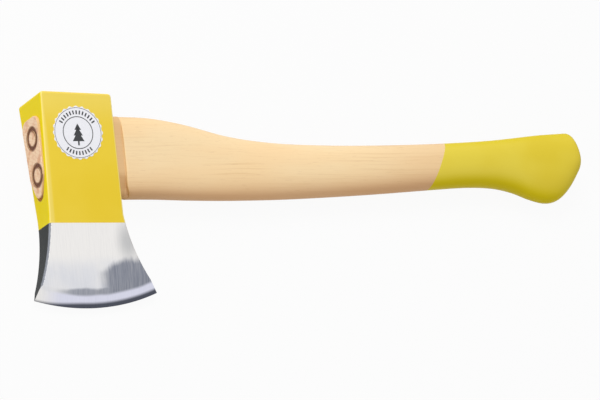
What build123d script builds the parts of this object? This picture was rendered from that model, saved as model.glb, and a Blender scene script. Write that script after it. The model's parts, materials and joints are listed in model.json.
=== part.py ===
"""Forest axe lying on its cheek: forged head, ash haft, two ring wedges and a label."""
from build123d import *
import math
import os

os.makedirs("parts", exist_ok=True)

# The axe has its own directions: X runs along the haft to the knob, Y points to the poll
# and Z stands out of the upper cheek. All heights below are measured from the eye's centre line.

# Head, seen on its cheek
poll_y = 47.2
poll_slant = 2.0            # the poll stands this much higher at the eye face
poll_corner_round = 2.5
eye_face_x = -28.3          # face where the end grain shows
haft_face_x = 28.1          # face where the haft goes in
waist_y = -42.0             # below this the blade flares
eye_face_flare = 1.4
haft_face_flare = 1.6
toe = (-45.2, -103.2)
heel = (52.6, -98.0)
toe_flare_mid = (-34.2, -72.0)
heel_flare_mid = (39.0, -74.0)
edge_radius = 150.4

# Head, seen on its eye face
poll_thick = 38.8
cheek_angle = 5.6           # each cheek leans this much from the middle plane
corner_round = 1.7

# Ground bevel and the fine edge on it
bevel_toe = 9.6
bevel_middle = 12.4
bevel_heel = 11.2
fine_bevel = 3.0
fine_bevel_thick = 3.6
edge_thick = 0.4

# Eye, a rounded drop that narrows to the bit
eye_wide_y = 25.8
eye_wide_half = 13.0
eye_corner_radius = 7.0
eye_middle_y = -8.9
eye_middle_radius = 11.2
eye_tip_y = -23.4
eye_tip_radius = 5.8
eye_fit = 0.05
tongue_tip_gap = 2.4        # the eye stays open below the tongue by this much

# Haft
haft_stand_out = 2.3        # end grain proud of the eye face
haft_end_chamfer = 0.5
neck_length = 7.6           # bare tongue between the head and the shoulder
neck_bottom_sweep = 6.0     # the shoulder runs away from the head at its lower corner
neck_sweep_height = 9.0
shoulder_step = 1.0
shoulder_rise = 0.2         # the shoulder's top edge above the eye
shoulder_squareness = 1.3
shoulder_drop = 0.16        # near the head the haft narrows to the bit side, like the eye
shoulder_fade = 110.0
haft_length = 390.1         # from the head to the knob's end face, at the eye's centre line
knob_thick = 25.6
# share of that length, top edge, bottom edge, thickness
haft_profile = [
    (0.0851, 32.4, -26.9, 26.6),
    (0.1569, 28.3, -27.8, 24.6),
    (0.2492, 19.7, -28.2, 23.4),
    (0.3466, 14.9, -27.5, 23.0),
    (0.4542, 13.3, -25.6, 23.2),
    (0.5619, 13.4, -23.1, 23.4),
    (0.6696, 14.5, -20.1, 23.6),
    (0.7567, 16.1, -18.1, 24.0),
    (0.8131, 17.6, -18.9, 24.4),
    (0.8541, 19.2, -22.4, 24.9),
    (0.8900, 20.8, -27.8, knob_thick),
    (0.9208, 22.1, -30.5, knob_thick),
    (0.9464, 22.8, -28.4, knob_thick),
    (0.9721, 23.4, -20.2, knob_thick),
    (0.9977, 24.0, -6.6, knob_thick),
    (1.0208, 24.6, 6.0, knob_thick),
]
knob_end_lean = 11.0        # the end face leans back to the top
knob_round = 4.0
section_power = 2.3         # 2 is an ellipse, more is squarer
section_points = 20

# Ring wedges, driven into the end grain
wedge_outer = 16.8
wedge_wall = 2.6
wedge_tip_wall = 0.9
wedge_length = 24.0
wedge_sink = 0.4
wedge_fit = 0.05
wedge_upper_drop = 8.4      # the upper one sits this much below the eye's wide end
wedge_lower_drop = 1.4      # and the lower one this much below the eye's middle
wedge_upper_aside = 1.2     # both sit off the middle, nearer to the upper cheek
wedge_lower_aside = 2.0

# Label on the upper cheek
label_x = -1.2
label_y = 17.3
label_diameter = 39.6
label_lobes = 24
label_lobe_radius = 1.7
label_thick = 0.2

lean = math.radians(cheek_angle)


def half_thick(y):
    """Half the head's thickness at a height above the eye's centre line."""
    return poll_thick / 2 - (poll_y - y) * math.tan(lean)


# The lower cheek lies flat on the ground, so the middle plane leans and stands clear of it
axe_plane = Plane(
    origin=(0, 0, half_thick(0) * math.cos(lean)),
    x_dir=(1, 0, 0),
    z_dir=(0, -math.sin(lean), math.cos(lean)),
)


def across(x):
    """Section plane square to the haft: its own axes are the axe's Y and Z."""
    return Plane(origin=axe_plane.from_local_coords((x, 0, 0)), x_dir=axe_plane.y_dir, z_dir=(1, 0, 0))


def eye_section(x, gap, tip_gap):
    """The drop-shaped eye at one place along the haft, smaller by the gap all round and at its tip."""
    with BuildSketch(across(x)) as section:
        corner_z = eye_wide_half - eye_corner_radius
        with Locations((eye_wide_y, corner_z), (eye_wide_y, -corner_z)):
            Circle(eye_corner_radius - gap)
        with Locations((eye_middle_y, 0)):
            Circle(eye_middle_radius - gap)
        with Locations((eye_tip_y + tip_gap, 0)):
            Circle(eye_tip_radius - gap)
        make_hull()
    return section.sketch


def haft_section(x, top, bottom, thick):
    """Rounded oval of the haft between its top and bottom edges, more like the eye near the head."""
    likeness = max(0, 1 - (x - haft_face_x) / shoulder_fade)
    power = section_power + shoulder_squareness * likeness
    points = []
    for step in range(section_points):
        turn = 2 * math.pi * step / section_points
        along = math.copysign(abs(math.cos(turn)) ** (2 / power), math.cos(turn))
        out = math.copysign(abs(math.sin(turn)) ** (2 / power), math.sin(turn))
        narrowing = 1 + shoulder_drop * likeness * along
        points.append(((top + bottom + (top - bottom) * along) / 2, thick / 2 * narrowing * out))
    with BuildSketch(across(x)) as section:
        with BuildLine():
            Spline(*points, periodic=True)
        make_face()
    return section.sketch


# Centre of the round cutting edge, from its radius and both corners
half_chord = math.dist(toe, heel) / 2
chord_turn = math.atan2(heel[1] - toe[1], heel[0] - toe[0])
centre_rise = math.sqrt(edge_radius**2 - half_chord**2)
edge_centre = (
    (toe[0] + heel[0]) / 2 - centre_rise * math.sin(chord_turn),
    (toe[1] + heel[1]) / 2 + centre_rise * math.cos(chord_turn),
)
half_sweep = math.asin(half_chord / edge_radius)
past_corner = 1.2           # the grinding runs out past both corners
past_edge = 10.0
edge_low_y = edge_centre[1] - edge_radius
blade_end_y = edge_low_y - past_edge
bevel_root_thick = 2 * half_thick(edge_low_y + bevel_middle)


def edge_point(share, inset):
    """Point on the edge's circle: share is -1 at the toe, 0 in the middle and 1 at the heel."""
    turn = chord_turn + share * half_sweep
    reach = edge_radius - inset
    return (edge_centre[0] + reach * math.sin(turn), edge_centre[1] - reach * math.cos(turn))


def grinding_section(side, thick):
    """What the grinding takes off at one distance from the middle plane."""
    if thick <= fine_bevel_thick:
        share = (thick - edge_thick) / (fine_bevel_thick - edge_thick)
        insets = [fine_bevel * share] * 3
    else:
        share = (thick - fine_bevel_thick) / (bevel_root_thick - fine_bevel_thick)
        insets = [fine_bevel + (width - fine_bevel) * share for width in (bevel_toe, bevel_middle, bevel_heel)]
    start, middle, end = [edge_point(place * past_corner, inset) for place, inset in zip((-1, 0, 1), insets)]
    with BuildSketch(axe_plane.offset(side * thick / 2)) as section:
        with BuildLine():
            ThreePointArc(start, middle, end)
            Polyline(end, (end[0], blade_end_y), (start[0], blade_end_y), start)
        make_face()
    return section.sketch


# Axe head
waist_eye_side = (eye_face_x - eye_face_flare, waist_y)
waist_haft_side = (haft_face_x + haft_face_flare, waist_y)
above_poll_y = poll_y + poll_slant
with BuildPart() as axe_head:
    with BuildSketch(axe_plane) as outline:
        with BuildLine():
            Polyline(
                waist_eye_side,
                (eye_face_x, poll_y + poll_slant / 2),
                (haft_face_x, poll_y - poll_slant / 2),
                waist_haft_side,
            )
            Spline(waist_haft_side, heel_flare_mid, heel)
            RadiusArc(heel, toe, edge_radius)
            Spline(toe, toe_flare_mid, waist_eye_side)
        make_face()
        fillet(outline.vertices().sort_by(Axis.Y)[-2:], poll_corner_round)
    extrude(amount=poll_thick, both=True)
    with BuildSketch(across(0)):
        with BuildLine():
            Polyline(
                (above_poll_y, half_thick(above_poll_y)),
                (above_poll_y, -half_thick(above_poll_y)),
                (blade_end_y, -half_thick(blade_end_y)),
                (blade_end_y, half_thick(blade_end_y)),
                close=True,
            )
        make_face()
    extrude(amount=heel[0] * 2, both=True, mode=Mode.INTERSECT)
    cheeks = axe_head.faces().sort_by(SortBy.AREA)[-2:]
    cutting_edges = cheeks.edges().filter_by(lambda edge: axe_plane.to_local_coords(edge.center()).Y < heel[1])
    fillet(cheeks.edges() - cutting_edges, corner_round)
    for side in (1, -1):
        grinding = [grinding_section(side, thick) for thick in (edge_thick, fine_bevel_thick, 2 * bevel_root_thick)]
        loft(grinding, ruled=True, mode=Mode.SUBTRACT)
    loft([eye_section(x, 0, 0) for x in (toe[0], heel[0])], ruled=True, mode=Mode.SUBTRACT)
axe_head.part.label = "axe_head"
export_step(axe_head.part, "parts/axe_head.step")

# Ring wedges
wedge_face_x = eye_face_x - haft_stand_out + wedge_sink
wedge_places = {
    "ring_wedge_upper": (eye_wide_y - wedge_upper_drop, wedge_upper_aside),
    "ring_wedge_lower": (eye_middle_y - wedge_lower_drop, wedge_lower_aside),
}
wedges = {}
for name, place in wedge_places.items():
    outer = wedge_outer / 2
    axis_start = axe_plane.from_local_coords((wedge_face_x, *place))
    with BuildPart() as wedge:
        with BuildSketch(Plane(origin=axis_start, x_dir=(1, 0, 0), z_dir=axe_plane.z_dir)):
            with BuildLine():
                Polyline(
                    (0, outer - wedge_wall),
                    (0, outer),
                    (wedge_length, outer),
                    (wedge_length, outer - wedge_tip_wall),
                    close=True,
                )
            make_face()
        revolve(axis=Axis(axis_start, (1, 0, 0)))
    wedge.part.label = name
    export_step(wedge.part, f"parts/{name}.step")
    wedges[name] = wedge.part

# Haft: the tongue fills the eye and holds a ring-shaped pocket for each wedge
tongue_end_x = eye_face_x - haft_stand_out
shoulder_x = haft_face_x + neck_length
tongue_ends = (tongue_end_x, shoulder_x + neck_bottom_sweep)
tongue_sections = [eye_section(x, eye_fit, tongue_tip_gap) for x in tongue_ends]
neck_top = eye_wide_y + eye_corner_radius
neck_bottom = eye_tip_y + tongue_tip_gap - eye_tip_radius
neck_thick = 2 * (eye_wide_half + shoulder_step)
haft_top = neck_top + shoulder_rise

past_neck = 1.0
# What is cut off beside the neck, so that only the tongue is left there
with BuildPart() as neck_relief:
    with BuildSketch(axe_plane):
        with BuildLine():
            sweep_top = (shoulder_x, neck_bottom + neck_sweep_height)
            sweep_end = (shoulder_x + neck_bottom_sweep, neck_bottom - past_neck)
            Polyline(sweep_end, (haft_face_x - past_neck, neck_bottom - past_neck),
                     (haft_face_x - past_neck, haft_top + past_neck), (shoulder_x, haft_top + past_neck), sweep_top)
            TangentArc(sweep_top, sweep_end, tangent=(0, -1))
        make_face()
    extrude(amount=neck_thick, both=True)
    loft(tongue_sections, ruled=True, mode=Mode.SUBTRACT)

with BuildPart() as haft:
    loft([haft_section(haft_face_x, haft_top, neck_bottom, neck_thick)]
         + [haft_section(haft_face_x + share * haft_length, *edges) for share, *edges in haft_profile])
    with BuildSketch(axe_plane):
        with Locations(Location((haft_face_x + haft_length, 0, 0), (0, 0, knob_end_lean))):
            Rectangle(2 * knob_thick, 4 * knob_thick, align=(Align.MIN, Align.CENTER))
    extrude(amount=knob_thick, both=True, mode=Mode.SUBTRACT)
    fillet(haft.faces().sort_by(Axis.X)[-1].edges(), knob_round)
    add(neck_relief.part, mode=Mode.SUBTRACT)
    loft(tongue_sections, ruled=True)
    end_rim = haft.faces().sort_by(Axis.X)[0].edges()
    chamfer(end_rim, haft_end_chamfer)
    for place in wedge_places.values():
        with BuildSketch(across(tongue_end_x)):
            with Locations(place):
                Circle(wedge_outer / 2 + wedge_fit)
                Circle(wedge_outer / 2 - wedge_wall - wedge_fit, mode=Mode.SUBTRACT)
        extrude(amount=wedge_sink + wedge_length + wedge_fit, mode=Mode.SUBTRACT)
haft.part.label = "haft"
export_step(haft.part, "parts/haft.step")

# Label, a thin scalloped disc on the upper cheek
cheek_point = axe_plane.from_local_coords((label_x, label_y, half_thick(label_y)))
label_plane = Plane(cheek_point, x_dir=(1, 0, 0), z_dir=(0, -math.sin(2 * lean), math.cos(2 * lean)))
with BuildPart() as label:
    with BuildSketch(label_plane):
        Circle(label_diameter / 2 - label_lobe_radius / 2)
        with PolarLocations(label_diameter / 2 - label_lobe_radius, label_lobes):
            Circle(label_lobe_radius)
    extrude(amount=label_thick)
label.part.label = "label"
export_step(label.part, "parts/label.step")
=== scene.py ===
import bpy
import bmesh
import json
import math
from mathutils import Matrix, Vector


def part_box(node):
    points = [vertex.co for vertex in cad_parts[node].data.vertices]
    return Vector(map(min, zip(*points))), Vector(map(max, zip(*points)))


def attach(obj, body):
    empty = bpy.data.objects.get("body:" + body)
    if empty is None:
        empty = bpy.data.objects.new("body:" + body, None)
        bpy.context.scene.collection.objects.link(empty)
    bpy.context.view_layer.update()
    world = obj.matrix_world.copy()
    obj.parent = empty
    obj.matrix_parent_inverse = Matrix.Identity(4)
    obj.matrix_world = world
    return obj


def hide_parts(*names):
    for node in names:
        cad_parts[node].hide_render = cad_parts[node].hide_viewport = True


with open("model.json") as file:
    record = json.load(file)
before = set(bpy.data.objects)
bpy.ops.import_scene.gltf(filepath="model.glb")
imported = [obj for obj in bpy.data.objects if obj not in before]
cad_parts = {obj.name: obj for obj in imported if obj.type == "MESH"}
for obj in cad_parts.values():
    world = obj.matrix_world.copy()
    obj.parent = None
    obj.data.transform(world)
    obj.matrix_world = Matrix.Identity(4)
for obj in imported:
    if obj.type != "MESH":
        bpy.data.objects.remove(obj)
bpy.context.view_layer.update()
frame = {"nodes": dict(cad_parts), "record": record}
mm = 0.001
print("frame loaded:", ", ".join(sorted(frame["nodes"])))

# The axe's own directions inside the row: X along the haft, Y to the poll, Z out of the upper cheek
poll = next(mount for mount in frame["record"]["mounts"] if mount["name"] == "poll_face")
lean = math.atan2(poll["axis"][2], poll["axis"][1])
lift = poll["pos_m"][2] - poll["pos_m"][1] * math.tan(lean)
axeToRow = Matrix.Translation((0, 0, lift)) @ Matrix.Rotation(lean, 4, "X")
rowToAxe = axeToRow.inverted()


def makeObject(name, mesh, materials=()):
    piece = bpy.data.objects.new(name, mesh)
    bpy.context.scene.collection.objects.link(piece)
    for material in materials:
        mesh.materials.append(material)
    return piece


def solidMesh(shape, name):
    # a built shape, put from the axe's directions into the row's and written out as a mesh
    bmesh.ops.recalc_face_normals(shape, faces=shape.faces)
    shape.transform(axeToRow)
    mesh = bpy.data.meshes.new(name)
    shape.to_mesh(mesh)
    shape.free()
    return mesh


def evaluated(piece, name):
    # the piece's mesh with its modifiers applied
    bpy.context.view_layer.update()
    mesh = bpy.data.meshes.new_from_object(piece.evaluated_get(bpy.context.evaluated_depsgraph_get()))
    piece.modifiers.clear()
    piece.data = mesh
    mesh.name = name
    return mesh


class Nodes:
    # a material's tree, with short calls for the nodes that the finishes share

    def __init__(self, name):
        self.material = bpy.data.materials.new(name)
        self.material.use_nodes = True
        self.tree = self.material.node_tree
        self.shader = self.tree.nodes["Principled BSDF"]
        # places on the object, turned into the axe's own directions
        coords = self.add("ShaderNodeTexCoord")
        turned = self.add("ShaderNodeMapping", vector_type="TEXTURE")
        turned.inputs["Location"].default_value = (0, 0, lift)
        turned.inputs["Rotation"].default_value = (lean, 0, 0)
        self.link(coords.outputs["Object"], turned.inputs["Vector"])
        self.axe = turned.outputs["Vector"]

    def add(self, kind, **settings):
        node = self.tree.nodes.new(kind)
        for key, value in settings.items():
            setattr(node, key, value)
        return node

    def link(self, source, target):
        self.tree.links.new(source, target)

    def feed(self, socket, value):
        if isinstance(value, bpy.types.NodeSocket):
            self.link(value, socket)
        else:
            socket.default_value = value

    def math(self, operation, first, second=0.0, third=0.0):
        node = self.add("ShaderNodeMath", operation=operation)
        for socket, value in zip(node.inputs, (first, second, third)):
            self.feed(socket, value)
        return node.outputs[0]

    def split(self, vector):
        node = self.add("ShaderNodeSeparateXYZ")
        self.link(vector, node.inputs[0])
        return node.outputs

    def stretch(self, scale):
        node = self.add("ShaderNodeVectorMath", operation="MULTIPLY")
        self.link(self.axe, node.inputs[0])
        node.inputs[1].default_value = scale
        return node.outputs[0]

    def distance(self, scale, place):
        # how far a point is from a place, with each direction taken at its scale
        node = self.add("ShaderNodeVectorMath", operation="DISTANCE")
        self.link(self.stretch(scale), node.inputs[0])
        node.inputs[1].default_value = place
        return node.outputs["Value"]

    def noise(self, vector, scale=1.0, detail=3.0, rough=0.5):
        node = self.add("ShaderNodeTexNoise")
        self.link(vector, node.inputs["Vector"])
        node.inputs["Scale"].default_value = scale
        node.inputs["Detail"].default_value = detail
        node.inputs["Roughness"].default_value = rough
        return node.outputs["Fac"]

    def span(self, value, low, high, newLow=0.0, newHigh=1.0):
        # soft step from newLow to newHigh while the value goes from low to high
        node = self.add("ShaderNodeMapRange", interpolation_type="SMOOTHSTEP")
        self.feed(node.inputs["Value"], value)
        for key, number in (("From Min", low), ("From Max", high), ("To Min", newLow), ("To Max", newHigh)):
            node.inputs[key].default_value = number
        return node.outputs["Result"]

    def mix(self, share, first, second, blend="MIX"):
        node = self.add("ShaderNodeMix", data_type="RGBA", blend_type=blend)
        self.feed(node.inputs["Factor"], share)
        self.feed(node.inputs[6], first)
        self.feed(node.inputs[7], second)
        return node.outputs[2]

    def tint(self, share, first, second):
        return self.mix(share, first, second, "MULTIPLY")

    def bump(self, height, strength, depth):
        node = self.add("ShaderNodeBump")
        node.inputs["Strength"].default_value = strength
        node.inputs["Distance"].default_value = depth
        self.link(height, node.inputs["Height"])
        self.link(node.outputs["Normal"], self.shader.inputs["Normal"])

    def set(self, specular=0.5, **values):
        # the shader's inputs by name, with _ for a space
        self.shader.inputs["Specular IOR Level"].default_value = specular
        for key, value in values.items():
            self.feed(self.shader.inputs[key.replace("_", " ")], value)


def srgb(red, green, blue):
    # display colour 0-255 to the linear values that a shader takes
    values = [c / 255 for c in (red, green, blue)]
    return tuple(c / 12.92 if c < 0.04045 else ((c + 0.055) / 1.055) ** 2.4 for c in values) + (1,)


# Head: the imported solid, merged and smoothed, with its zones as material slots

lacquer = {
    "colour": srgb(240, 209, 64),
    "deep": srgb(237, 205, 54),
    # the cheeks and the eye-end face are one coat drawn in two tones: the cheeks' paler tone is a painted
    # sheen
    "side": srgb(240, 217, 8),
    "sideSpan": (0.55, 0.95),
    # painted highlight tone for the rounded corners, and how far it reaches beside the eye face and near the
    # poll
    "corner": srgb(252, 232, 138),
    "highlightBesideEye": (-27.0 * mm, -24.6 * mm),
    "highlightNearPoll": (12 * mm, 46 * mm),
    "roughness": 0.42,
    "specular": 0.1,
    "peelSize": 1.6 * mm,
    "peelDepth": 0.015 * mm,
}


def lacquerFinish(name, tones, sideways):
    # sideways is the axis, 0 or 1, that the faces with the side tone look along
    nodes = Nodes(name)
    cloud = nodes.noise(nodes.axe, scale=22, detail=2)
    normal = nodes.split(nodes.add("ShaderNodeNewGeometry").outputs["Normal"])
    turned = nodes.math("ABSOLUTE", normal[sideways])
    tone = nodes.mix(nodes.span(cloud, 0.35, 0.7), tones["colour"], tones["deep"])
    # painted sheen and shade: faces that look along the sideways axis take their own tone, so one coat is
    # drawn in two tones by which way it faces
    tone = nodes.mix(nodes.span(turned, *tones["sideSpan"]), tone, tones["side"])
    if "corner" in tones:
        # painted highlight: the coat is drawn lighter over the rounded corners, beside the eye face and near
        # the poll
        x, y, _ = nodes.split(nodes.axe)
        beside = nodes.span(x, *tones["highlightBesideEye"], 0.45, 0)
        paintedHighlight = nodes.math("MAXIMUM", nodes.span(turned, 0.12, 0.3, 0, 0.85), beside)
        paintedHighlight = nodes.math("MAXIMUM", paintedHighlight, nodes.span(y, *tones["highlightNearPoll"], 0, 0.35))
        paintedHighlight = nodes.math("MULTIPLY", paintedHighlight, nodes.span(turned, 0.6, 0.85, 1, 0))
        tone = nodes.mix(paintedHighlight, tone, tones["corner"])
    peel = nodes.noise(nodes.axe, scale=1 / lacquer["peelSize"], detail=1)
    dust = nodes.noise(nodes.axe, scale=900, detail=2)
    rough = nodes.span(cloud, 0.2, 0.8, lacquer["roughness"] - 0.04, lacquer["roughness"] + 0.05)
    nodes.set(Base_Color=tone, Roughness=rough, specular=lacquer["specular"])
    nodes.bump(nodes.math("MULTIPLY_ADD", dust, 0.25, peel), 0.4, lacquer["peelDepth"])
    return nodes.material


head = {
    "paintLine": -48.2 * mm,
    "groundOff": 0.1 * mm,      # the grinding leaves the blade this much under the lacquer
    "sharpAngle": 32,
    "edgeCentre": Vector((-3.85, 41.40, 0)) * mm,
    "edgeRadius": 150.4 * mm,
    "bevelWidth": 16.0 * mm,    # bevel faces lie this near to the edge
    "eyeMiddle": 4.0 * mm,
    "cheekFacing": 0.985,       # a cheek looks at least this much along z
    "bevelFacing": 0.8,         # a bevel looks at least this much towards the edge
    "sideFacing": 0.3,          # a forged side looks at most this much along z
    "wallFacing": 0.2,          # an eye wall looks at most this much along x
}
steel = {
    "bright": srgb(230, 228, 226),
    "cloud": srgb(208, 210, 217),
    "shade": srgb(170, 171, 173),
    "darkReflection": srgb(124, 128, 140),
    # painted light reflection on the bevel, lavender
    "bevel": srgb(214, 215, 230),
    # painted dark reflection along the edge
    "edge": srgb(78, 81, 92),
    # darker grey for the ground corners that face the eye end: a painted reflection
    "corner": srgb(124, 127, 134),
    "eyeWall": srgb(246, 222, 156),
    "scale": srgb(28, 32, 34),
    "scaleWorn": srgb(54, 58, 59),
    "bandWidth": 8.4 * mm,                      # painted light reflection, a pale band beside the edge
    "streakWidth": 13.0 * mm,                   # painted dark reflection, a streak above it
    "streakFrom": (-34 * mm, -14 * mm),
    "fineFrom": (-46 * mm, -6 * mm),            # the painted dark reflection line at the edge widens between these
    "fineWidth": (0.4 * mm, 3.2 * mm),
    "toeBright": (-44 * mm, -22 * mm),
    "darkFrom": (3 * mm, 16 * mm),              # painted dark reflection, reaching towards the heel
    "darkRise": (4 * mm, 32 * mm),
    "darkTop": (-81.0 * mm, -72.5 * mm),
    "greyerBelow": (-70 * mm, -84 * mm),
    "patchPlace": (31 * mm, -37 * mm, 0),       # soft shaded patch under the lacquer
    "patchReach": (1 * mm, 13 * mm),
}


def bladeFinish():
    # ground cheek and bevel: bright steel with its reflections painted into the colour, a dark painted
    # reflection that climbs to the heel, a pale band and a dark streak on the bevel, and a dark line at the
    # edge
    nodes = Nodes("groundBlade")
    x, y, _ = nodes.split(nodes.axe)
    inset = nodes.math("SUBTRACT", head["edgeRadius"], nodes.distance((1, 1, 0), head["edgeCentre"]))
    lines = nodes.noise(nodes.stretch((1500, 60, 60)), detail=2, rough=0.6)   # belt marks down the blade
    ragged = nodes.math("SUBTRACT", nodes.noise(nodes.stretch((300, 60, 0)), detail=3, rough=0.6), 0.5)
    broad = nodes.math("SUBTRACT", nodes.noise(nodes.stretch((60, 60, 0)), detail=2), 0.5)
    top = nodes.span(x, *steel["darkRise"], *steel["darkTop"])
    top = nodes.math("MULTIPLY_ADD", ragged, 6 * mm, nodes.math("MULTIPLY_ADD", broad, 5 * mm, top))
    fromLeft = nodes.span(nodes.math("MULTIPLY_ADD", ragged, 5 * mm, x), *steel["darkFrom"])
    climbing = nodes.math("MULTIPLY", nodes.span(nodes.math("SUBTRACT", top, y), -1.5 * mm, 5 * mm), fromLeft)
    reach = nodes.math("MULTIPLY_ADD", broad, 5 * mm, nodes.math("MULTIPLY", x, 0.04))
    low = nodes.math("SUBTRACT", nodes.math("ADD", reach, steel["streakWidth"]), inset)
    streak = nodes.math("MULTIPLY", nodes.span(low, -1 * mm, 1.5 * mm), nodes.span(x, *steel["streakFrom"]))
    dark = nodes.math("MAXIMUM", climbing, nodes.math("MULTIPLY", streak, 0.85))
    dark = nodes.math("MULTIPLY", dark, nodes.span(lines, 0.3, 0.7, 1.0, 0.78))
    # towards the edge the steel turns a bluer grey in broad patches
    greyerLow = nodes.math("MULTIPLY", nodes.span(y, *steel["greyerBelow"]), nodes.span(broad, -0.2, 0.15, 0.5, 1.0))
    colour = nodes.mix(nodes.math("MULTIPLY", greyerLow, 0.8), steel["bright"], steel["cloud"])
    soft = nodes.span(nodes.distance((1, 0.6, 0), steel["patchPlace"]), *steel["patchReach"], 1, 0)
    colour = nodes.mix(nodes.math("MULTIPLY", soft, 0.7), colour, steel["shade"])
    # painted dark reflection: the ragged zone that climbs to the heel and the streak above the band
    colour = nodes.mix(dark, colour, steel["darkReflection"])
    # painted light reflection: a lavender band along the bevel, whiter towards the toe
    band = nodes.span(nodes.math("MULTIPLY_ADD", broad, 1.5 * mm, inset), steel["bandWidth"] - 1.3 * mm,
                      steel["bandWidth"] + 1.3 * mm, 1, 0)
    bandReflection = nodes.mix(nodes.span(x, *steel["toeBright"]), steel["bright"], steel["bevel"])
    colour = nodes.mix(band, colour, bandReflection)
    # painted dark reflection: a line along the edge, wider towards the heel
    fine = nodes.math("SUBTRACT", inset, nodes.span(x, *steel["fineFrom"], *steel["fineWidth"]))
    colour = nodes.mix(nodes.span(fine, -1.3 * mm, 1.5 * mm, 1, 0), colour, steel["edge"])
    colour = nodes.tint(nodes.span(lines, 0.4, 0.75, 0.0, 0.22), colour, (0.78, 0.78, 0.8, 1))
    nodes.set(Base_Color=colour, Metallic=1.0, Roughness=nodes.math("MULTIPLY_ADD", lines, 0.14, 0.34))
    nodes.bump(lines, 0.3, 0.015 * mm)
    return nodes.material


def groundFinish(name, colour, roughness):
    nodes = Nodes(name)
    lines = nodes.noise(nodes.stretch((1900, 90, 90)), detail=2, rough=0.6)
    cloud = nodes.noise(nodes.axe, scale=60, detail=2)
    colour = nodes.tint(nodes.span(lines, 0.4, 0.8, 0.0, 0.4), colour, (0.7, 0.7, 0.74, 1))
    colour = nodes.tint(nodes.span(cloud, 0.45, 0.75, 0, 0.3), colour, (0.8, 0.8, 0.82, 1))
    nodes.set(Base_Color=colour, Metallic=1.0, Roughness=nodes.math("MULTIPLY_ADD", lines, 0.12, roughness))
    nodes.bump(lines, 0.3, 0.015 * mm)
    return nodes.material


def scaleFinish():
    nodes = Nodes("forgeScale")
    patches = nodes.noise(nodes.axe, scale=240, detail=5, rough=0.7)
    grains = nodes.noise(nodes.axe, scale=1400, detail=3, rough=0.6)
    colour = nodes.mix(nodes.span(patches, 0.52, 0.72), steel["scale"], steel["scaleWorn"])
    rough = nodes.math("MULTIPLY_ADD", patches, 0.3, 0.42)
    nodes.set(Base_Color=colour, Metallic=0.15, Roughness=rough, specular=0.35)
    nodes.bump(nodes.math("MULTIPLY_ADD", grains, 0.4, patches), 0.6, 0.08 * mm)
    return nodes.material


def headZone(normal, middle):
    # 0 lacquer, 1 ground blade, 2 forged sides, 3 ground corners, 4 eye
    toMiddle = normal.y * (middle.y - head["eyeMiddle"]) + normal.z * middle.z < 0
    if middle.y > head["paintLine"]:
        return 4 if toMiddle and abs(normal.x) < head["wallFacing"] else 0
    if abs(normal.z) > head["cheekFacing"]:
        return 1
    away = Vector((middle.x, middle.y, 0)) - head["edgeCentre"]
    inset = head["edgeRadius"] - away.length
    facing = normal.dot(away.normalized()) / max(1e-6, math.hypot(normal.x, normal.y))
    if facing > head["bevelFacing"] and inset < head["bevelWidth"]:
        return 1
    if abs(normal.z) < head["sideFacing"]:
        return 2
    # only the corners that face the eye end take the darker painted reflection; the others take the blade's
    # finish
    return 3 if normal.x < 0 else 1


def buildHead():
    shape = bmesh.new()
    shape.from_mesh(frame["nodes"]["axe_head"].data)
    bmesh.ops.remove_doubles(shape, verts=shape.verts, dist=1e-6)
    shape.transform(rowToAxe)
    bmesh.ops.dissolve_limit(shape, angle_limit=math.radians(0.2), verts=shape.verts, edges=shape.edges)
    everything = shape.verts[:] + shape.edges[:] + shape.faces[:]
    bmesh.ops.bisect_plane(shape, geom=everything, plane_co=(0, head["paintLine"], 0), plane_no=(0, 1, 0))
    for face in shape.faces:
        face.material_index = headZone(face.normal, face.calc_center_median())
        face.smooth = True
    for edge in shape.edges:
        edge.smooth = len(edge.link_faces) == 2 and edge.calc_face_angle(0) < math.radians(head["sharpAngle"])
    for vert in shape.verts:
        if vert.co.y < head["paintLine"] - 0.1 * mm and abs(vert.co.z) > 1 * mm:
            vert.co.z -= math.copysign(head["groundOff"], vert.co.z)
    finishes = [
        lacquerFinish("headLacquer", lacquer, 0),
        bladeFinish(),
        scaleFinish(),
        # the corners' darker grey is a painted reflection
        groundFinish("groundCorner", steel["corner"], 0.4),
        groundFinish("eyeWall", steel["eyeWall"], 0.75),
    ]
    piece = makeObject("headForged", solidMesh(shape, "headForged"), finishes)
    # flat faces keep flat shading beside their rounded corners
    modifier = piece.modifiers.new("flatFaces", "WEIGHTED_NORMAL")
    modifier.keep_sharp = True
    evaluated(piece, "headForged")
    return piece


headPiece = buildHead()
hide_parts("axe_head")
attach(headPiece, "root")
print("head built:", len(headPiece.data.polygons), "faces")


# Haft: one closed skin through rounded sections, with the tongue, the shoulder and the knob

ash = {
    "pale": srgb(250, 222, 176),
    "line": srgb(233, 198, 148),
    "pore": srgb(206, 164, 118),
    # painted shade for the faces towards the bit and the poll
    "paintedFlankShade": srgb(234, 178, 126),
    "end": srgb(253, 221, 188),
    "endLine": srgb(238, 192, 156),
    "endStain": srgb(224, 166, 128),
    "ringBandBrown": srgb(128, 84, 62),
    # darker tone on the tongue up to the shoulder: partly the cutter's burn on the wood, partly painted shade
    # beside the head
    "neck": srgb(218, 174, 122),
    "ringWidth": 3.4 * mm,
    "knobward": (200 * mm, 300 * mm),   # the wood gets darker between these
}
dip = {
    "colour": srgb(231, 210, 74),
    "deep": srgb(226, 202, 58),
    # painted shade: the dip's top and bottom faces take a deeper, saturated tone
    "side": srgb(226, 203, 14),
    "sideSpan": (0.3, 0.85),
    "top": (305.1, 15.1),       # the dip ends on the line through these two places (mm)
    "bottom": (287.4, -20.4),
}


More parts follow.
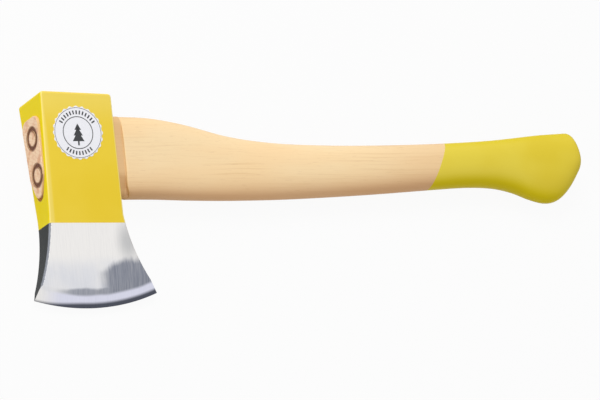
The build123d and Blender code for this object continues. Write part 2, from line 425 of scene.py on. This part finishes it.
def ashFinish():
    nodes = Nodes("oiledAsh")
    x, y, z = nodes.split(nodes.axe)
    drift = nodes.noise(nodes.stretch((9, 60, 60)), detail=2)
    across = nodes.math("MULTIPLY_ADD", z, 0.35, y)
    warped = nodes.math("MULTIPLY_ADD", drift, 9 * mm, across)
    wave = nodes.math("SINE", nodes.math("MULTIPLY", warped, 2 * math.pi / ash["ringWidth"]))
    strength = nodes.noise(nodes.stretch((14, 140, 140)), detail=2)
    growth = nodes.math("MULTIPLY", nodes.span(wave, 0.35, 1.0), nodes.span(strength, 0.42, 0.68))
    fibre = nodes.noise(nodes.stretch((26, 1300, 1300)), detail=3, rough=0.6)
    pores = nodes.noise(nodes.stretch((110, 2300, 2300)), detail=1)
    colour = nodes.mix(nodes.math("MULTIPLY", growth, 0.45), ash["pale"], ash["line"])
    colour = nodes.mix(nodes.span(fibre, 0.5, 0.8, 0, 0.4), colour, ash["line"])
    colour = nodes.mix(nodes.span(pores, 0.66, 0.78, 0, 0.4), colour, ash["pore"])
    tone = nodes.noise(nodes.stretch((11, 34, 34)), detail=2)
    colour = nodes.tint(nodes.span(tone, 0.4, 0.72, 0, 0.4), colour, (1.0, 0.88, 0.76, 1))
    # painted shade: the face towards the bit is darker and pinker, the one towards the poll only a little
    turned = nodes.split(nodes.add("ShaderNodeNewGeometry").outputs["Normal"])[1]
    toBit, toPoll = nodes.span(turned, -0.95, -0.1, 0.75, 0), nodes.span(turned, 0.72, 0.98, 0, 0.6)
    flankShadeShare = nodes.math("MAXIMUM", toBit, toPoll)
    colour = nodes.mix(flankShadeShare, colour, ash["paintedFlankShade"])
    colour = nodes.tint(nodes.span(x, *ash["knobward"], 0, 0.6), colour, (0.9, 0.84, 0.8, 1))
    # darker band on the tongue between the head and the shoulder: partly the cutter's burn, partly painted
    # shade beside the head
    neck = nodes.span(x, (haft["shoulder"] - 0.6) * mm, (haft["shoulder"] + 0.4) * mm, 1, 0)
    colour = nodes.mix(nodes.math("MULTIPLY", neck, 0.65), colour, ash["neck"])
    nodes.set(Base_Color=colour, Roughness=nodes.math("MULTIPLY_ADD", fibre, 0.2, 0.45), specular=0.25)
    grooves = nodes.math("SUBTRACT", nodes.math("MULTIPLY", fibre, 0.6), nodes.span(pores, 0.66, 0.8))
    nodes.bump(grooves, 0.4, 0.06 * mm)
    return nodes.material


def endGrainFinish():
    nodes = Nodes("endGrain")
    _, y, z = nodes.split(nodes.axe)
    drift = nodes.noise(nodes.axe, scale=90, detail=3)
    warped = nodes.math("MULTIPLY_ADD", drift, 7 * mm, nodes.math("MULTIPLY_ADD", z, 0.5, y))
    wave = nodes.math("SINE", nodes.math("MULTIPLY", warped, 2 * math.pi / (0.8 * ash["ringWidth"])))
    cells = nodes.add("ShaderNodeTexVoronoi")
    nodes.link(nodes.axe, cells.inputs["Vector"])
    cells.inputs["Scale"].default_value = 1500
    pore = nodes.span(cells.outputs["Distance"], 0.1, 0.45, 1, 0)
    speckle = nodes.noise(nodes.axe, scale=800, detail=3)
    stain = nodes.noise(nodes.axe, scale=170, detail=3)
    colour = nodes.mix(nodes.span(wave, 0.2, 1.0, 0, 0.35), ash["end"], ash["endLine"])
    holes = nodes.math("MULTIPLY", pore, nodes.span(wave, -0.2, 0.8, 0.05, 0.35))
    colour = nodes.mix(holes, colour, ash["pore"])
    colour = nodes.mix(nodes.span(stain, 0.45, 0.68, 0, 0.75), colour, ash["endStain"])
    # a brown band darkens the wood on both sides of each ring
    for height, aside in haft["wedgePlaces"]:
        away = nodes.distance((0, 1, 1), (0, height * mm, aside * mm))
        far = nodes.math("MULTIPLY_ADD", nodes.math("SUBTRACT", stain, 0.5), 1.5 * mm, away)
        inner, outer = (radius * mm for radius in haft["wedgeRadii"])
        rim = nodes.math("MULTIPLY", nodes.span(far, inner - 1.3 * mm, inner - 0.4 * mm),
                         nodes.span(far, outer + 0.4 * mm, outer + 1.3 * mm, 1, 0))
        colour = nodes.mix(nodes.math("MULTIPLY", rim, 0.75), colour, ash["ringBandBrown"])
    colour = nodes.tint(nodes.span(speckle, 0.4, 0.7, 0, 0.3), colour, (0.9, 0.82, 0.74, 1))
    nodes.set(Base_Color=colour, Roughness=0.62, specular=0.2)
    nodes.bump(nodes.math("ADD", pore, speckle), 0.5, 0.05 * mm)
    return nodes.material


haft = {
    # share of the length from the head to the knob's end, top edge, bottom edge, thickness (mm)
    "sections": [
        (0.0, 33.0, -26.8, 28.0),
        (0.0851, 32.4, -26.9, 26.6),
        (0.1569, 28.3, -27.8, 24.6),
        (0.2492, 19.7, -28.2, 23.4),
        (0.3466, 14.9, -27.5, 23.0),
        (0.4542, 13.3, -25.6, 23.2),
        (0.5619, 13.4, -23.1, 23.4),
        (0.6696, 14.5, -20.1, 23.6),
        (0.7567, 16.1, -18.1, 24.0),
        (0.8131, 17.6, -18.9, 24.4),
        (0.8541, 19.2, -22.4, 24.9),
        (0.8900, 20.8, -27.8, 25.6),
        (0.9208, 22.1, -30.5, 25.6),
        (0.9464, 22.8, -28.4, 25.6),
        (0.9721, 23.4, -20.2, 25.6),
        (0.9977, 24.0, -6.6, 25.6),
        (1.0208, 24.6, 6.0, 25.6),
    ],
    "start": 28.1,
    "length": 390.1,
    "power": 2.3,               # 2 is an ellipse, more is squarer
    "headPower": 1.3,           # near the head the section is squarer
    "headDrop": 0.16,           # and thicker towards the poll
    "headFade": 110.0,          # until this far from it
    "columns": 96,
    "ringStep": 2.4,
    "knobShare": 0.83,          # from here the rings lean over with the knob's end face
    "endLean": 11.0,
    "endRound": 4.0,
    "endRings": 22,
    "roundRings": 6,
    "sweepRings": 5,
    "capRings": 5,
    "settleRounds": 12,         # times that a ring's places are worked out again on a leaning face
    "shoulder": 35.7,
    "shoulderSweep": 6.0,
    "shoulderSweepHeight": 9.0,
    "shoulderRound": 0.7,
    "tongueChamfer": 0.5,
    "tongueRings": (-20, 0, 20, 27, 31),
    # eye section: height, distance from the middle plane and radius of its round corners
    "eyeRounds": [(25.8, 6.0, 6.95), (-8.9, 0.0, 11.15), (-21.0, 0.0, 5.75)],
    "eyeMiddle": 4.0,
    "wedgePlaces": [(17.4, 1.2), (-10.3, 2.0)],
    "wedgeRadii": (5.75, 8.45),
    "wedgeDepth": 24.45,
    "pocketStart": -2,          # the cutter begins outside the end grain
    "pocketSteps": 64,
    "grainDepth": 25,           # faces across the haft within this of its end are end grain
    "grainFacing": 0.6,
    "sharpAngle": 38,
}
haftLow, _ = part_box("haft")
tongueEnd = haftLow.x / mm
knobStart = haft["start"] + haft["knobShare"] * haft["length"]


def alongHaft(x, column):
    # smooth curve through the section table
    rows = haft["sections"]
    share = (x - haft["start"]) / haft["length"]
    i = next((n for n, row in enumerate(rows) if n and row[0] >= share), len(rows) - 1)

    def slope(n):
        a, b = max(0, n - 1), min(len(rows) - 1, n + 1)
        return (rows[b][column] - rows[a][column]) / (rows[b][0] - rows[a][0])

    low, high = rows[i - 1], rows[i]
    width = high[0] - low[0]
    t = (share - low[0]) / width
    return ((2 * t**3 - 3 * t**2 + 1) * low[column] + (t**3 - 2 * t**2 + t) * width * slope(i - 1)
            + (3 * t**2 - 2 * t**3) * high[column] + (t**3 - t**2) * width * slope(i))


def haftPoint(x, turn, shrink=0.0):
    # point on the rounded section at this distance, pulled in by shrink all round
    top, bottom, thick = (alongHaft(x, column) for column in (1, 2, 3))
    likeness = max(0.0, 1 - (x - haft["start"]) / haft["headFade"])
    power = haft["power"] + haft["headPower"] * likeness
    along = math.copysign(abs(math.cos(turn)) ** (2 / power), math.cos(turn))
    out = math.copysign(abs(math.sin(turn)) ** (2 / power), math.sin(turn))
    half = thick / 2 * (1 + haft["headDrop"] * likeness * along)
    return (top + bottom) / 2 + ((top - bottom) / 2 - shrink) * along, (half - shrink) * out


def eyePoint(y, z):
    # where the eye's outline lies in the direction of (y, z) from its middle
    middle = haft["eyeMiddle"]
    turn = math.atan2(z, y - middle)
    reach = 1e9
    # the outline is the nearest of the lines that rest on its round corners
    for step in range(-89, 90):
        tilt = turn + math.radians(step)
        rest = max((height - middle) * math.cos(tilt) + aside * abs(math.sin(tilt)) + radius
                   for height, aside, radius in haft["eyeRounds"])
        reach = min(reach, rest / math.cos(tilt - turn))
    return middle + reach * math.cos(turn), reach * math.sin(turn)


def shoulderAt(y):
    # the shoulder runs away from the head at its lower corner
    above = haft["sections"][0][2] + haft["shoulderSweepHeight"] - y
    share = min(1.0, max(0.0, above / (haft["shoulderSweepHeight"] + 1)))
    return haft["shoulder"] + haft["shoulderSweep"] * (1 - math.sqrt(1 - share**2))


def knobFaceAt(y):
    return haft["start"] + haft["length"] - y * math.tan(math.radians(haft["endLean"]))


def haftRings():
    # rings of points from the end grain to the knob's end face
    turns = [2 * math.pi * n / haft["columns"] for n in range(haft["columns"])]
    edge = [haftPoint(haft["shoulder"], turn) for turn in turns]
    eye = [eyePoint(y, z) for y, z in edge]

    def tongueRing(places, shrink=0.0):
        ring = []
        for x, (y, z) in zip(places, eye):
            size = math.hypot(y - haft["eyeMiddle"], z)
            ring.append((x, y - (y - haft["eyeMiddle"]) / size * shrink, z - z / size * shrink))
        return ring

    def bodyRing(places, shrink=0.0):
        return [(x, *haftPoint(x, turn, shrink)) for x, turn in zip(places, turns)]

    columns, bevel, corner = haft["columns"], haft["tongueChamfer"], haft["shoulderRound"]
    rings = [tongueRing([tongueEnd] * columns, bevel)]
    rings += [tongueRing([x] * columns) for x in (tongueEnd + bevel, tongueEnd + 2, *haft["tongueRings"])]
    lip = [shoulderAt(y) for y, _ in edge]
    rings.append(tongueRing(lip))
    for step in range(haft["roundRings"] + 1):
        bend = math.pi / 2 * step / haft["roundRings"]
        places = [x + corner * (1 - math.cos(bend)) for x in lip]
        rings.append(bodyRing(places, corner * (1 - math.sin(bend))))
    start = haft["shoulder"] + haft["shoulderSweep"] + 3
    for step in range(1, haft["sweepRings"]):
        rings.append(bodyRing([x + corner + (start - x - corner) * step / haft["sweepRings"] for x in lip]))
    count = int((knobStart - start) / haft["ringStep"])
    for step in range(count + 1):
        rings.append(bodyRing([start + (knobStart - start) * step / count] * columns))
    # the last rings lean over with the knob's end face, then round into it
    for step in range(1, haft["endRings"] + 1):
        places = [knobStart] * columns
        for _ in range(haft["settleRounds"]):
            heights = [haftPoint(x, turn)[0] for x, turn in zip(places, turns)]
            places = [knobStart + (knobFaceAt(y) - haft["endRound"] - knobStart) * step / haft["endRings"]
                      for y in heights]
        rings.append(bodyRing(places))
    for step in range(1, haft["roundRings"] + 1):
        bend = math.pi / 2 * step / haft["roundRings"]
        shrink, back = haft["endRound"] * (1 - math.cos(bend)), haft["endRound"] * (1 - math.sin(bend))
        for _ in range(haft["settleRounds"]):
            places = [knobFaceAt(haftPoint(x, turn, shrink)[0]) - back for x, turn in zip(places, turns)]
        rings.append(bodyRing(places, shrink))
    return rings


def capRings(ring, plane):
    # smaller and smaller rings inside an end ring, so that the end face is even quads
    middleY = sum(point[1] for point in ring) / len(ring)
    made = []
    for step in range(1, haft["capRings"] + 1):
        share = 1 - step / (haft["capRings"] + 1)
        inner = []
        for _, y, z in ring:
            newY = middleY + (y - middleY) * share
            inner.append((plane(newY), newY, z * share))
        made.append(inner)
    return made, (plane(middleY), middleY, 0)


def buildHaft():
    rings = haftRings()
    startCap, startMiddle = capRings(rings[0], lambda y: tongueEnd)
    endCap, endMiddle = capRings(rings[-1], knobFaceAt)
    rings = startCap[::-1] + rings + endCap
    shape = bmesh.new()
    made = [[shape.verts.new([value * mm for value in point]) for point in ring] for ring in rings]
    columns = haft["columns"]
    for ringA, ringB in zip(made, made[1:]):
        for n in range(columns):
            m = (n + 1) % columns
            shape.faces.new((ringA[n], ringB[n], ringB[m], ringA[m]))
    for ring, middle in ((made[0], startMiddle), (made[-1], endMiddle)):
        centre = shape.verts.new([value * mm for value in middle])
        for n in range(columns):
            shape.faces.new((ring[n], ring[(n + 1) % columns], centre))
    return solidMesh(shape, "haftAsh")


def pocketCutter():
    # ring-shaped pockets for the wedges, as one cutter
    shape = bmesh.new()
    inner, outer = haft["wedgeRadii"]
    outside, bottom, steps = haft["pocketStart"], haft["wedgeDepth"], haft["pocketSteps"]
    for height, aside in haft["wedgePlaces"]:
        loops = []
        for x, radius in ((outside, inner), (outside, outer), (bottom, outer), (bottom, inner)):
            loop = []
            for n in range(steps):
                turn = 2 * math.pi * n / steps
                place = (tongueEnd + x, height + radius * math.cos(turn), aside + radius * math.sin(turn))
                loop.append(shape.verts.new([value * mm for value in place]))
            loops.append(loop)
        for first, second in zip(loops, loops[1:] + loops[:1]):
            for n in range(steps):
                m = (n + 1) % steps
                shape.faces.new((first[n], second[n], second[m], first[m]))
    return makeObject("pocketCutter", solidMesh(shape, "pocketCutter"))


def finishHaft():
    finishes = [ashFinish(), endGrainFinish(), lacquerFinish("gripLacquer", dip, 1)]
    piece = makeObject("haftAsh", buildHaft(), finishes)
    cutter = pocketCutter()
    pockets = piece.modifiers.new("pockets", "BOOLEAN")
    pockets.object = cutter
    pockets.operation = "DIFFERENCE"
    pockets.solver = "EXACT"
    mesh = evaluated(piece, "haftAsh")
    bpy.data.objects.remove(cutter)
    shape = bmesh.new()
    shape.from_mesh(mesh)
    shape.transform(rowToAxe)
    # the dip ends on a slanted line
    (topX, topY), (bottomX, bottomY) = dip["top"], dip["bottom"]
    across = Vector((topY - bottomY, -(topX - bottomX), 0)).normalized()
    start = Vector((bottomX, bottomY, 0)) * mm
    everything = shape.verts[:] + shape.edges[:] + shape.faces[:]
    bmesh.ops.bisect_plane(shape, geom=everything, plane_co=start, plane_no=across)
    for face in shape.faces:
        middle = face.calc_center_median()
        face.smooth = True
        if (middle - start).dot(across) > 0:
            face.material_index = 2
        elif middle.x < (tongueEnd + haft["grainDepth"]) * mm and abs(face.normal.x) > haft["grainFacing"]:
            face.material_index = 1
        else:
            face.material_index = 0
    for edge in shape.edges:
        edge.smooth = len(edge.link_faces) == 2 and edge.calc_face_angle(0) < math.radians(haft["sharpAngle"])
    shape.transform(axeToRow)
    shape.to_mesh(mesh)
    shape.free()
    return piece


haftPiece = finishHaft()
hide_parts("haft")
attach(haftPiece, "root")
print("haft built:", len(haftPiece.data.polygons), "faces")


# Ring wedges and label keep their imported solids

wedge = {
    "colour": srgb(128, 84, 62),
    "deep": srgb(94, 60, 44),
}
label = {
    "paper": srgb(243, 243, 248),
    "fibre": srgb(236, 236, 242),
    "ink": srgb(40, 42, 46),
    "inkWorn": srgb(70, 72, 76),
    "thick": 0.2 * mm,
}


def wedgeFinish():
    nodes = Nodes("brownedSteel")
    patches = nodes.noise(nodes.axe, scale=500, detail=4, rough=0.65)
    colour = nodes.mix(nodes.span(patches, 0.35, 0.7), wedge["colour"], wedge["deep"])
    rough = nodes.math("MULTIPLY_ADD", patches, 0.3, 0.45)
    nodes.set(Base_Color=colour, Metallic=0.15, Roughness=rough, specular=0.2)
    nodes.bump(patches, 0.5, 0.04 * mm)
    return nodes.material


def paperFinish():
    nodes = Nodes("labelPaper")
    fibres = nodes.noise(nodes.axe, scale=1600, detail=3)
    colour = nodes.mix(nodes.span(fibres, 0.4, 0.7), label["paper"], label["fibre"])
    nodes.set(Base_Color=colour, Roughness=0.45, specular=0.2)
    nodes.bump(fibres, 0.2, 0.01 * mm)
    return nodes.material


def dress(name, finish):
    frame["nodes"][name].data.materials.clear()
    frame["nodes"][name].data.materials.append(finish)


wedgeSteel = wedgeFinish()
dress("ring_wedge_upper", wedgeSteel)
dress("ring_wedge_lower", wedgeSteel)
dress("label", paperFinish())
print("wedges and label dressed")


# Print on the label: two rings, arcs of bars and a fir tree, laid by one Geometry Nodes tree

printing = {
    "Outer Radius": 18.3 * mm,
    "Inner Radius": 11.7 * mm,
    "Thin Stroke": 0.35 * mm,
    "Stroke": 0.62 * mm,
    "Bar Radius": 15.0 * mm,
    "Bar Width": 1.1 * mm,
    "Bar Height": 2.9 * mm,
    "Upper Bars": 13,
    "Lower Bars": 9,
    "Tree Width": 5.6 * mm,
    "Tree Step": 3.6 * mm,
    "Film": 0.03 * mm,
}
barArcs = {"Upper Bars": (32, 116), "Lower Bars": (232, 76)}    # start and sweep in degrees


def inkFinish():
    nodes = Nodes("printInk")
    grain = nodes.noise(nodes.axe, scale=2400, detail=2)
    colour = nodes.mix(nodes.span(grain, 0.45, 0.8), label["ink"], label["inkWorn"])
    nodes.set(Base_Color=colour, Roughness=0.45)
    return nodes.material


class PrintTree:
    # a Geometry Nodes group with one named input for each value in the dictionary

    def __init__(self, values, material):
        self.group = bpy.data.node_groups.new("labelPrint", "GeometryNodeTree")
        self.group.interface.new_socket("Geometry", in_out="OUTPUT", socket_type="NodeSocketGeometry")
        for name, value in values.items():
            kind = "NodeSocketInt" if isinstance(value, int) else "NodeSocketFloat"
            self.group.interface.new_socket(name, in_out="INPUT", socket_type=kind)
        self.inputs = self.group.nodes.new("NodeGroupInput").outputs
        self.parts = self.group.nodes.new("GeometryNodeJoinGeometry")
        realize = self.group.nodes.new("GeometryNodeRealizeInstances")
        paint = self.group.nodes.new("GeometryNodeSetMaterial")
        paint.inputs["Material"].default_value = material
        last = self.group.nodes.new("NodeGroupOutput")
        for source, target in ((self.parts, realize), (realize, paint), (paint, last)):
            self.group.links.new(source.outputs[0], target.inputs[0])

    def add(self, kind, values, **settings):
        node = self.group.nodes.new(kind)
        for key, value in settings.items():
            setattr(node, key, value)
        for key, value in values.items():
            if isinstance(value, bpy.types.NodeSocket):
                self.group.links.new(value, node.inputs[key])
            else:
                node.inputs[key].default_value = value
        return node.outputs[0]

    def math(self, operation, *values):
        return self.add("ShaderNodeMath", dict(enumerate(values)), operation=operation)

    def vector(self, *values):
        return self.add("ShaderNodeCombineXYZ", dict(enumerate(values)))

    def keep(self, geometry):
        self.group.links.new(geometry, self.parts.inputs[0])

    def box(self, width, height):
        return self.add("GeometryNodeMeshCube", {"Size": self.vector(width, height, self.inputs["Film"])})

    def ring(self, radius, stroke):
        film = self.inputs["Film"]
        circle = self.add("GeometryNodeCurvePrimitiveCircle", {"Resolution": 96, "Radius": radius})
        flat = self.add("GeometryNodeCurvePrimitiveQuadrilateral", {"Width": stroke, "Height": film})
        self.keep(self.add("GeometryNodeCurveToMesh", {"Curve": circle, "Profile Curve": flat}))

    def bars(self, count, start, sweep):
        arc = self.add("GeometryNodeCurveArc", {"Radius": self.inputs["Bar Radius"],
                                               "Start Angle": start, "Sweep Angle": sweep})
        points = self.add("GeometryNodeResampleCurve", {"Curve": arc, "Count": count})
        place = self.add("GeometryNodeInputPosition", {})
        outward = self.add("FunctionNodeAlignRotationToVector", {"Vector": place}, axis="Y")
        bar = self.box(self.inputs["Bar Width"], self.inputs["Bar Height"])
        self.keep(self.add("GeometryNodeInstanceOnPoints", {"Points": points, "Instance": bar,
                                                            "Rotation": outward}))

    def fir(self):
        # three triangles, each wider than the one above, on a trunk
        step, width, film = self.inputs["Tree Step"], self.inputs["Tree Width"], self.inputs["Film"]
        down = self.vector(0, self.math("MULTIPLY", step, -1.0), 0)
        stack = self.add("GeometryNodeMeshLine", {"Count": 3, "Start Location": self.vector(0, step, 0),
                                                 "Offset": down})
        tier = self.add("GeometryNodeMeshCylinder", {"Vertices": 3, "Radius": width, "Depth": film})
        upright = self.add("GeometryNodeTransform", {"Geometry": tier, "Rotation": (0, 0, math.pi / 2)})
        index = self.add("GeometryNodeInputIndex", {})
        wider = self.math("MULTIPLY_ADD", index, 0.2, 0.55)
        deeper = self.math("MULTIPLY_ADD", index, 0.02, 1.0)    # so that no two tops lie in one plane
        self.keep(self.add("GeometryNodeInstanceOnPoints", {"Points": stack, "Instance": upright,
                                                            "Scale": self.vector(wider, wider, deeper)}))
        trunk = self.box(self.math("MULTIPLY", width, 0.22), step)
        foot = self.vector(0, self.math("MULTIPLY", step, -2.1), 0)
        self.keep(self.add("GeometryNodeTransform", {"Geometry": trunk, "Translation": foot}))


def buildPrint():
    tree = PrintTree(printing, inkFinish())
    tree.ring(tree.inputs["Outer Radius"], tree.inputs["Thin Stroke"])
    tree.ring(tree.inputs["Inner Radius"], tree.inputs["Stroke"])
    for count, (start, sweep) in barArcs.items():
        tree.bars(tree.inputs[count], math.radians(start), math.radians(sweep))
    tree.fir()
    piece = makeObject("labelPrint", bpy.data.meshes.new("labelPrint"))
    modifier = piece.modifiers.new("print", "NODES")
    modifier.node_group = tree.group
    for item in tree.group.interface.items_tree:
        if item.in_out == "INPUT":
            modifier[item.identifier] = printing[item.name]
    piece.update_tag()
    mesh = evaluated(piece, "labelPrint")
    labelLow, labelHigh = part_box("label")
    # the upper cheek leans twice as much as the middle plane; a quarter of the film is inside the label
    flat = Matrix.Translation((labelLow + labelHigh) / 2) @ Matrix.Rotation(2 * lean, 4, "X")
    mesh.transform(flat @ Matrix.Translation((0, 0, label["thick"] / 2 + printing["Film"] / 4)))
    return piece


printPiece = buildPrint()
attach(printPiece, "root")
print("label printed:", len(printPiece.data.polygons), "faces")


# Floor, lights and camera

studio = {
    "floorHalf": 4.0,
    "floorHeight": -0.0002,     # just under the cheek that rests on it
    "floorColour": (0.6, 0.6, 0.6, 1),
    "floorGlow": 0.94,
    "worldStrength": 0.57,
    "keyPlace": (-0.25, 0.95, 1.35),
    "keySize": 0.9,
    "keyPower": 14.2,
    "fillPlace": (-1.6, 0.35, 0.5),
    "fillSize": 0.8,
    "fillPower": 6.0,
    "lightAim": (0.1, 0, 0.01),
}
view = {
    "aim": (0.1782, -0.0291, 0.0147),
    "azimuth": -53.51,
    "elevation": 54.56,
    "roll": -47.76,
    "distance": 4.380,
    "lens": 360,
    "sensor": 36,
    "clipEnd": 50,
}


def seenDirectly(tree):
    # 1 for rays that show the backdrop as it is, also in metal and glass; 0 for light on the object
    rays = tree.nodes.new("ShaderNodeLightPath")
    value = rays.outputs["Is Camera Ray"]
    for name in ("Is Glossy Ray", "Is Transmission Ray"):
        either = tree.nodes.new("ShaderNodeMath")
        either.operation = "MAXIMUM"
        tree.links.new(value, either.inputs[0])
        tree.links.new(rays.outputs[name], either.inputs[1])
        value = either.outputs[0]
    return value


def buildFloor():
    half, height = studio["floorHalf"], studio["floorHeight"]
    corners = [(-half, -half, height), (half, -half, height), (half, half, height), (-half, half, height)]
    mesh = bpy.data.meshes.new("floor")
    mesh.from_pydata(corners, [], [(0, 1, 2, 3)])
    material = bpy.data.materials.new("palePaper")
    material.use_nodes = True
    tree = material.node_tree
    tree.nodes.clear()
    paper = tree.nodes.new("ShaderNodeBsdfDiffuse")
    paper.inputs["Color"].default_value = studio["floorColour"]
    glow = tree.nodes.new("ShaderNodeEmission")
    share = tree.nodes.new("ShaderNodeMath")
    share.operation = "MULTIPLY"
    share.inputs[1].default_value = studio["floorGlow"]
    blend = tree.nodes.new("ShaderNodeMixShader")
    output = tree.nodes.new("ShaderNodeOutputMaterial")
    tree.links.new(seenDirectly(tree), share.inputs[0])
    tree.links.new(share.outputs[0], blend.inputs[0])
    tree.links.new(paper.outputs[0], blend.inputs[1])
    tree.links.new(glow.outputs[0], blend.inputs[2])
    tree.links.new(blend.outputs[0], output.inputs[0])
    floor = makeObject("floor", mesh, [material])


def buildLight(name, place, size, power):
    data = bpy.data.lights.new(name, "AREA")
    data.shape = "DISK"
    data.size = size
    data.energy = power
    lamp = bpy.data.objects.new(name, data)
    bpy.context.scene.collection.objects.link(lamp)
    lamp.location = place
    lamp.rotation_euler = (Vector(studio["lightAim"]) - Vector(place)).to_track_quat("-Z", "Y").to_euler()


def buildWorld():
    world = bpy.data.worlds.new("studioWorld")
    bpy.context.scene.world = world
    world.use_nodes = True
    tree = world.node_tree
    light = tree.nodes["Background"]
    light.inputs["Color"].default_value = (1, 1, 1, 1)
    level = tree.nodes.new("ShaderNodeMapRange")
    level.inputs["To Min"].default_value = studio["worldStrength"]
    level.inputs["To Max"].default_value = 1.0
    tree.links.new(seenDirectly(tree), level.inputs["Value"])
    tree.links.new(level.outputs["Result"], light.inputs["Strength"])


def buildCamera():
    turn, rise, roll = (math.radians(view[key]) for key in ("azimuth", "elevation", "roll"))
    back = Vector((math.sin(turn) * math.cos(rise), -math.cos(turn) * math.cos(rise), math.sin(rise)))
    right = (-back).cross(Vector((0, 0, 1))).normalized()
    up = right.cross(-back)
    rolledUp = up * math.cos(roll) + right * math.sin(roll)
    rolledRight = (-back).cross(rolledUp)
    data = bpy.data.cameras.new("camera")
    data.lens = view["lens"]
    data.sensor_width = view["sensor"]
    data.clip_end = view["clipEnd"]
    camera = bpy.data.objects.new("camera", data)
    bpy.context.scene.collection.objects.link(camera)
    place = Vector(view["aim"]) + back * view["distance"]
    turned = Matrix((rolledRight, rolledUp, back)).transposed().to_4x4()
    camera.matrix_world = Matrix.Translation(place) @ turned
    bpy.context.scene.camera = camera


buildFloor()
buildLight("keyLight", studio["keyPlace"], studio["keySize"], studio["keyPower"])
buildLight("fillLight", studio["fillPlace"], studio["fillSize"], studio["fillPower"])
buildWorld()
buildCamera()
bpy.context.scene.view_settings.view_transform = "Standard"
print("studio ready")
